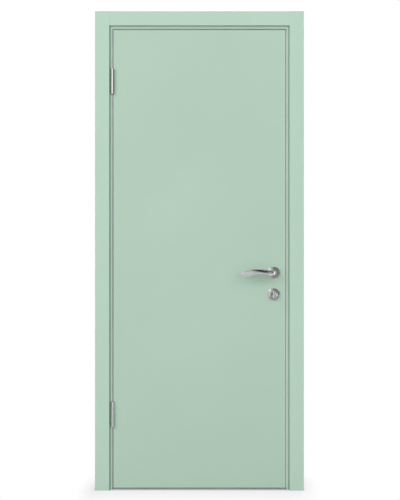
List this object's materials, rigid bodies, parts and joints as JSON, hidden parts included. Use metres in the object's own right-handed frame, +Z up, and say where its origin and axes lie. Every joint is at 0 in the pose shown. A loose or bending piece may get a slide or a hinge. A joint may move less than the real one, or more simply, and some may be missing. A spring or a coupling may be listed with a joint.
{
  "type": "interior door with frame",
  "caption": "Flush mint-painted interior door leaf with a metal edge, hung on knuckled hinges in its rebated frame with flat casings, lever handles and a privacy turn.",
  "frame": {"origin": "middle of the door's width and depth, on the finished floor under the frame", "axes": "+Z up the door, +X across from the hinges to the lock, +Y into the wall; the leaf opens to -Y"},
  "size_m": [0.924, 0.172, 2.121],
  "materials": {
    "painted_frame": "satin mint paint",
    "painted_leaf": "satin mint paint",
    "seal_rubber": "matt",
    "inner_timber": "planed",
    "core_board": "raw board",
    "edge_aluminium": "satin anodised",
    "hinge_steel": "satin",
    "handle_chrome": "polished",
    "lock_steel": "zinc plated",
    "dark_plastic": "moulded"
  },
  "bodies": {
    "frame": {"hinge_jamb": "painted_frame", "strike_jamb": "painted_frame", "head_jamb": "painted_frame", "front_casing_left": "painted_frame", "front_casing_right": "painted_frame", "front_casing_head": "painted_frame", "rear_casing_left": "painted_frame", "rear_casing_right": "painted_frame", "rear_casing_head": "painted_frame", "seal_hinge_side": "seal_rubber", "seal_strike_side": "seal_rubber", "seal_head": "seal_rubber", "strike_plate": "lock_steel", "strike_box": "dark_plastic", "strike_screws": "lock_steel", "upper_hinge_frame_plate": "hinge_steel", "lower_hinge_frame_plate": "hinge_steel", "upper_hinge_pin": "hinge_steel", "lower_hinge_pin": "hinge_steel", "hinge_frame_screws": "hinge_steel"},
    "leaf": {"leaf_front_skin": "painted_leaf", "leaf_rear_skin": "painted_leaf", "hinge_stile": "inner_timber", "lock_stile": "inner_timber", "lock_block": "inner_timber", "top_rail": "inner_timber", "bottom_rail": "inner_timber", "leaf_core": "core_board", "edge_hinge_side": "edge_aluminium", "edge_lock_side": "edge_aluminium", "edge_top": "edge_aluminium", "edge_bottom": "edge_aluminium", "upper_hinge_leaf_plate": "hinge_steel", "lower_hinge_leaf_plate": "hinge_steel", "hinge_rings": "hinge_steel", "hinge_leaf_screws": "hinge_steel", "lock_case": "lock_steel", "lock_cover": "lock_steel", "lock_forend": "lock_steel", "forend_screws": "lock_steel", "front_lever_rose_base": "dark_plastic", "front_lever_rose_cover": "handle_chrome", "rear_lever_rose_base": "dark_plastic", "rear_lever_rose_cover": "handle_chrome", "front_wc_rose_base": "dark_plastic", "front_wc_rose_cover": "handle_chrome", "rear_wc_rose_base": "dark_plastic", "rear_wc_rose_cover": "handle_chrome", "rose_bolts": "lock_steel", "latch_spring": "lock_steel"},
    "lever": {"front_lever": "handle_chrome", "rear_lever": "handle_chrome", "spindle": "lock_steel", "lever_grub_screws": "lock_steel", "follower": "lock_steel"},
    "latch": {"latch_bolt": "lock_steel"},
    "turn": {"thumb_turn": "handle_chrome", "emergency_release": "handle_chrome", "wc_follower": "lock_steel"},
    "privacy_bolt": {"deadbolt": "lock_steel"}
  },
  "joints": [
    {"name": "leaf_swing", "type": "hinge", "parent": "frame", "child": "leaf", "pos_m": [-0.385, -0.0335, 1.074], "axis": [0, 0, -1], "range_deg": [0, 170]},
    {"name": "lever_turn", "type": "hinge", "parent": "leaf", "child": "lever", "pos_m": [0.33, -0.006, 0.964], "axis": [0, -1, 0], "range_deg": [0, 40], "stiffness_Nm_per_rad": 1.5, "springref_deg": -28.65},
    {"name": "latch_slide", "type": "slide", "parent": "leaf", "child": "latch", "axis": [-1, 0, 0], "range_m": [0, 0.0115], "deforming": ["latch_spring"]},
    {"name": "privacy_turn", "type": "hinge", "parent": "leaf", "child": "turn", "pos_m": [0.33, -0.006, 0.868], "axis": [0, 1, 0], "range_deg": [0, 90]},
    {"name": "privacy_bolt_slide", "type": "slide", "parent": "leaf", "child": "privacy_bolt", "axis": [1, 0, 0], "range_m": [0, 0.014]}
  ],
  "couplings": [
    {"joint": "latch_slide", "follows": "lever_turn", "m_per_rad": 0.01646},
    {"joint": "privacy_bolt_slide", "follows": "privacy_turn", "m_per_rad": 0.0089}
  ]
}
